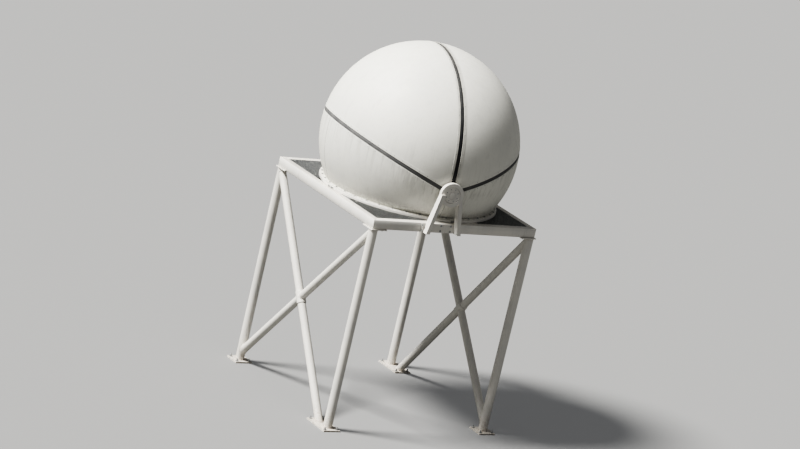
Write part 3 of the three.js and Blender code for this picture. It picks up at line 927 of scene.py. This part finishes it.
def make_bowl_quarter(name, end_name):
    """A quarter of the bowl, with a lip along the rim and a flange on the ring."""
    side, end, rim = SIDES[name], ENDS[end_name], RIMS[name]
    top_turn = math.acos(-SEAM_HALF / HUB_RADIUS) - RIM_RISE
    low_turn = math.pi - math.asin(BOWL_JOINT / HUB_RADIUS)
    foot_radius = math.sqrt(BALL_RADIUS ** 2 - BOWL_FOOT ** 2)

    def foot(t):
        first = math.asin(BOWL_JOINT / foot_radius)
        turn = first + (QUARTER_TURN - 2 * first) * t
        return Vector((side * foot_radius * math.sin(turn), end * foot_radius * math.cos(turn), BOWL_FOOT))

    rim_start = turn_at(rim, -SEAM_HALF, hub_edge(side, -1, top_turn))
    rim_middle = math.acos(BOWL_JOINT / rim.ring_radius(-SEAM_HALF, 0))

    def top(t):
        point = rim.point(rim_start + (rim_middle - rim_start) * t, -SEAM_HALF)
        return Vector((point.x, point.y * -end, point.z))

    foot_climb = math.asin(BOWL_FOOT / BALL_RADIUS)
    rise = math.asin((HINGE.z - HUB_RADIUS) / BALL_RADIUS) - foot_climb
    share = rise / (rise + (low_turn - top_turn) * HUB_RADIUS / BALL_RADIUS)

    def beside_joint(climb):
        z = BALL_RADIUS * math.sin(climb)
        return math.sqrt(BALL_RADIUS ** 2 - z * z - BOWL_JOINT ** 2), z

    def hub_side(t):
        if t < share:
            out, z = beside_joint(foot_climb + rise * t / share)
            return Vector((side * BOWL_JOINT, end * out, z))
        return hub_edge(side, end, low_turn + (top_turn - low_turn) * (t - share) / (1 - share))

    def far_side(t):
        low, high = (math.asin(place.z / BALL_RADIUS) for place in (foot(1), top(1)))
        out, z = beside_joint(low + (high - low) * t)
        return Vector((side * out, end * BOWL_JOINT, z))

    form = bmesh.new()
    add_shell(form, patch_on_ball(foot, top, hub_side, far_side, across=36, along=72))
    start = rim.start(0.9 * HUB_RADIUS)
    turns = (start, rim_middle) if end < 0 else (math.pi - rim_middle, math.pi - start)
    add_seam_strip(form, rim, lip_profile(-1), *turns, 80)
    flange = rounded_profile(foot_radius - 0.012, 1.508, BOWL_FOOT, BOWL_FOOT + FLANGE, 0.002)
    first = BOWL_JOINT / foot_radius
    start = QUARTERS[f"{name}_{end_name}"] * QUARTER_TURN
    add_arc(form, flange, start + first, start + QUARTER_TURN - first, 60)
    form.transform(DOME)
    add_piece(f"bowl_wall_{name}_{end_name}", form, SHELL, [f"bowl_{name}_{end_name}"])


def make_seals():
    """Rubber strips over the crown and along both rims, with their ends hidden by the hubs."""
    seams = [("crown", CROWN, RUBBER, "crown_seal")]
    seams += [(f"rim_{side}", rim, PALER_DUSTY_RUBBER, f"rim_seal_{side}") for side, rim in RIMS.items()]
    for name, seam, finish, node in seams:
        form = bmesh.new()
        start = seam.start(0.8 * HUB_RADIUS)
        add_seam_strip(form, seam, seal_profile(), start, math.pi - start, 180)
        form.transform(DOME)
        add_piece(f"rubber_{name}", form, finish, [node])


def make_seam_fixings():
    """Small domed screws along every lip, and bolts round the bowl's flange."""
    form = bmesh.new()
    spacing, aside, sunk = 0.16, SEAM_HALF + 0.024, 0.0022
    for seam in (CROWN, *RIMS.values()):
        start = seam.start(HUB_RADIUS + 0.05)
        count = round((math.pi - 2 * start) * BALL_RADIUS / spacing)
        turns = spread(start, math.pi - start, count)
        for seat in [seam.point(turn, way * aside, sunk) for way in (-1, 1) for turn in turns]:
            add_turned(form, seat, seat, SCREW_HEAD, sides=12)
    form.transform(DOME)
    add_piece("seam_screws", form, ZINC)
    bolts = bmesh.new()
    bolt_circle = 1.482
    for turn in turns_round(40, shift=0.5):
        add_bolt(bolts, about_z(turn, bolt_circle, BOWL_FOOT + FLANGE), UP, across=0.019)
    bolts.transform(DOME)
    add_piece("bowl_flange_bolts", bolts, ZINC)


def make_bowl_sealant():
    """A grey run of sealant in each of the bowl's four joints."""
    form = bmesh.new()
    radius = BALL_RADIUS - 0.0015
    low = math.asin(BOWL_FOOT / BALL_RADIUS) + 0.008
    rim_height = RIMS["right"].point(QUARTER_TURN, -SEAM_HALF).z
    hub_height = HINGE.z - 0.9 * HUB_RADIUS
    runs = [(Vector((side, 0, 0)), rim_height, 90) for side in SIDES.values()]
    runs += [(Vector((0, end, 0)), hub_height, 40) for end in ENDS.values()]
    for out, top, steps in runs:
        climbs = spread(low, math.asin(top / BALL_RADIUS), steps)
        path = [radius * (math.cos(climb) * out + math.sin(climb) * UP) for climb in climbs]
        add_bead(form, path, size=0.0040, closed=False)
    form.transform(DOME)
    add_piece("bowl_joint_sealant", form, SEALANT)


def make_hub(end_name, out):
    """The hub's drum, with a cap and a ring of bolts in its face."""
    hub, bolts = bmesh.new(), bmesh.new()
    drum, cut, bolt_circle = HUB_RADIUS - 0.0006, 0.006, 0.104
    profile = [(HUB_INNER, drum), (HUB_OUTER - cut, drum), (HUB_OUTER, drum - cut)]
    profile += [(HUB_OUTER + rise, radius) for rise, radius in HUB_FACE]
    add_turned(hub, HINGE, out, profile, sides=72)
    hub.transform(DOME)
    add_piece(f"hub_drum_{end_name}", hub, STEEL, [f"pivot_hub_{end_name}"])
    for turn in turns_round(8, shift=0.5):
        seat = HINGE + out * HUB_OUTER + bolt_circle * Vector((math.cos(turn), 0, math.sin(turn)))
        add_bolt(bolts, seat, out, across=0.0085)
    bolts.transform(DOME)
    add_piece(f"hub_bolts_{end_name}", bolts, ZINC)


def make_pivot(end_name):
    """A hub, and the bracket that holds it: a collar, two posts, a plate and its bolts."""
    out = Vector((0, ENDS[end_name], 0))
    make_hub(end_name, out)
    form = bmesh.new()
    add_bracket_posts(form)
    face_outward(form, end_name)
    inner, cut = HUB_RADIUS + 0.0004, 0.004
    profile = [
        (COLLAR_INNER, inner), (COLLAR_INNER, COLLAR_RADIUS - cut), (COLLAR_INNER + cut, COLLAR_RADIUS),
        (COLLAR_OUTER - cut, COLLAR_RADIUS), (COLLAR_OUTER, COLLAR_RADIUS - cut), (COLLAR_OUTER, inner),
    ]
    collar = add_turned(form, HINGE, out, profile, sides=96, looped=True)
    bmesh.ops.transform(form, matrix=DOME, verts=sum(collar, []))
    add_piece(f"bracket_{end_name}", form, STEEL, [f"pivot_bracket_{end_name}"])
    make_bracket_bolts(end_name)


def face_outward(form, end_name):
    """Turns a form made for the front round to the back, where it is for the back."""
    if ENDS[end_name] > 0:
        form.transform(Matrix.Rotation(math.pi, 4, "Z"))


def add_bracket_posts(form):
    """The plate on the front beam, and two box posts that lean together from it to the collar's sides."""
    hub_height, outer = BALL_CENTRE.z + HINGE.z, -BRACKET_SEAT - POST_DEPTH
    low = (BRACKET_MIDDLE - BRACKET_HALF, -BRACKET_FACE, BRACKET_LOW)
    high = (BRACKET_MIDDLE + BRACKET_HALF, -BRACKET_SEAT, BRACKET_HIGH)
    add_block(form, low, high, edge=0.003)
    for side in SIDES.values():
        foot, top = BRACKET_MIDDLE + side * POST_FOOT, BRACKET_MIDDLE + side * POST_TOP
        rings = []
        for x, z, sunk in ((foot, BRACKET_LOW, 0.001), (top, hub_height, 0.045)):
            inner = -BRACKET_SEAT - sunk
            corners = ((-POST_HALF, outer), (POST_HALF, outer), (POST_HALF, inner), (-POST_HALF, inner))
            rings.append([(x + dx, y, z) for dx, y in corners])
        add_prism(form, *rings, edge=0.007)
        lean = (top - foot) / (hub_height - BRACKET_LOW) * (BRACKET_HIGH - BRACKET_LOW)
        face, inset = -BRACKET_FACE - 0.001, 0.004
        for flank in (-1, 1):
            x = foot + flank * (POST_HALF + 0.002)
            start, end = (x, face, BRACKET_LOW + inset), (x + lean, face, BRACKET_HIGH - inset)
            add_straight_bead(form, start, end, BRACKET_WELD)


def make_bracket_bolts(end_name):
    form = bmesh.new()
    middle = (BRACKET_LOW + BRACKET_HIGH) / 2
    for x in (-0.362, -0.19, 0, 0.19, 0.362):
        for z in (-0.045, 0.045):
            add_bolt(form, (BRACKET_MIDDLE + x, -BRACKET_FACE, middle + z), (0, -1, 0), across=0.019)
    face_outward(form, end_name)
    add_piece(f"bracket_bolts_{end_name}", form, ZINC)


def make_dome():
    for name in SIDES:
        make_upper_shell(name)
        for end_name in ENDS:
            make_bowl_quarter(name, end_name)
    make_seals()
    make_seam_fixings()
    make_bowl_sealant()
    for end_name in ENDS:
        make_pivot(end_name)


# Studio
def make_camera():
    """A long lens at the photograph's angle, rolled as it leans there."""
    azimuth, elevation, roll = (math.radians(a) for a in (-34.4, 14.8, 13.2))
    distance, aim = 61.0, Vector((0, 0, 3.10))
    flat = math.cos(elevation)
    away = Vector((math.sin(azimuth) * flat, -math.cos(azimuth) * flat, math.sin(elevation)))
    data = bpy.data.cameras.new("photo_camera")
    data.lens = 163
    data.sensor_width = 36
    data.clip_end = 400
    made = put_in_scene("photo_camera", data)
    made.location = aim + away * distance
    made.rotation_mode = "QUATERNION"
    made.rotation_quaternion = away.to_track_quat("Z", "Y") @ Quaternion((0, 0, 1), roll)
    bpy.context.scene.camera = made


def make_key_light():
    """A broad soft light from high on the left and behind, as the photograph is lit."""
    data = bpy.data.lights.new("key_light", "SUN")
    data.energy = 5.8
    data.angle = math.radians(14)
    data.color = (1.0, 0.985, 0.945)
    made = put_in_scene("key_light", data)
    made.rotation_mode = "QUATERNION"
    made.rotation_quaternion = Vector((-0.60, 0.16, 0.784)).to_track_quat("Z", "Y")


def make_air():
    """A weak light from all round, and a pale background for the camera."""
    world = bpy.data.worlds.new("studio_air")
    world.use_nodes = True
    tree = world.node_tree
    weak = tree.nodes["Background"]
    weak.inputs["Color"].default_value = (0.89, 0.895, 0.91, 1)
    weak.inputs["Strength"].default_value = 0.20
    pale = add_node(tree, "ShaderNodeBackground", {"Color": (0.494, 0.494, 0.491, 1)})
    seen = add_node(tree, "ShaderNodeLightPath").outputs["Is Camera Ray"]
    mixed = add_node(tree, "ShaderNodeMixShader", {0: seen, 1: weak.outputs[0], 2: pale.outputs[0]})
    tree.links.new(mixed.outputs[0], tree.nodes["World Output"].inputs["Surface"])
    bpy.context.scene.world = world


def make_studio():
    floor = bpy.data.meshes.new("studio_floor")
    form = bmesh.new()
    bmesh.ops.create_circle(form, cap_ends=True, radius=400, segments=96)
    form.to_mesh(floor)
    form.free()
    pale, tree, shader = new_material("pale_floor")
    # The floor shows paler to the camera than it reflects onto the object, and glows a little for the camera
    # only: painted light that lifts the shadows on it
    seen = add_node(tree, "ShaderNodeLightPath").outputs["Is Camera Ray"]
    tree.links.new(blended(tree, seen, (0.17, 0.17, 0.165, 1), (0.25, 0.25, 0.25, 1)), shader["Base Color"])
    tree.links.new(blended(tree, seen, (0, 0, 0, 1), (0.085, 0.086, 0.088, 1)), shader["Emission Color"])
    shader["Emission Strength"].default_value = 1.0
    shader["Roughness"].default_value = 1.0
    shader["Specular IOR Level"].default_value = 0.0
    floor.materials.append(pale)
    made = put_in_scene("studio_floor", floor)
    make_key_light()
    make_air()
    view = bpy.context.scene.view_settings
    view.view_transform = "AgX"
    view.look = "AgX - Very High Contrast"


make_camera()
make_studio()
make_tower()
make_platform()
make_dome()
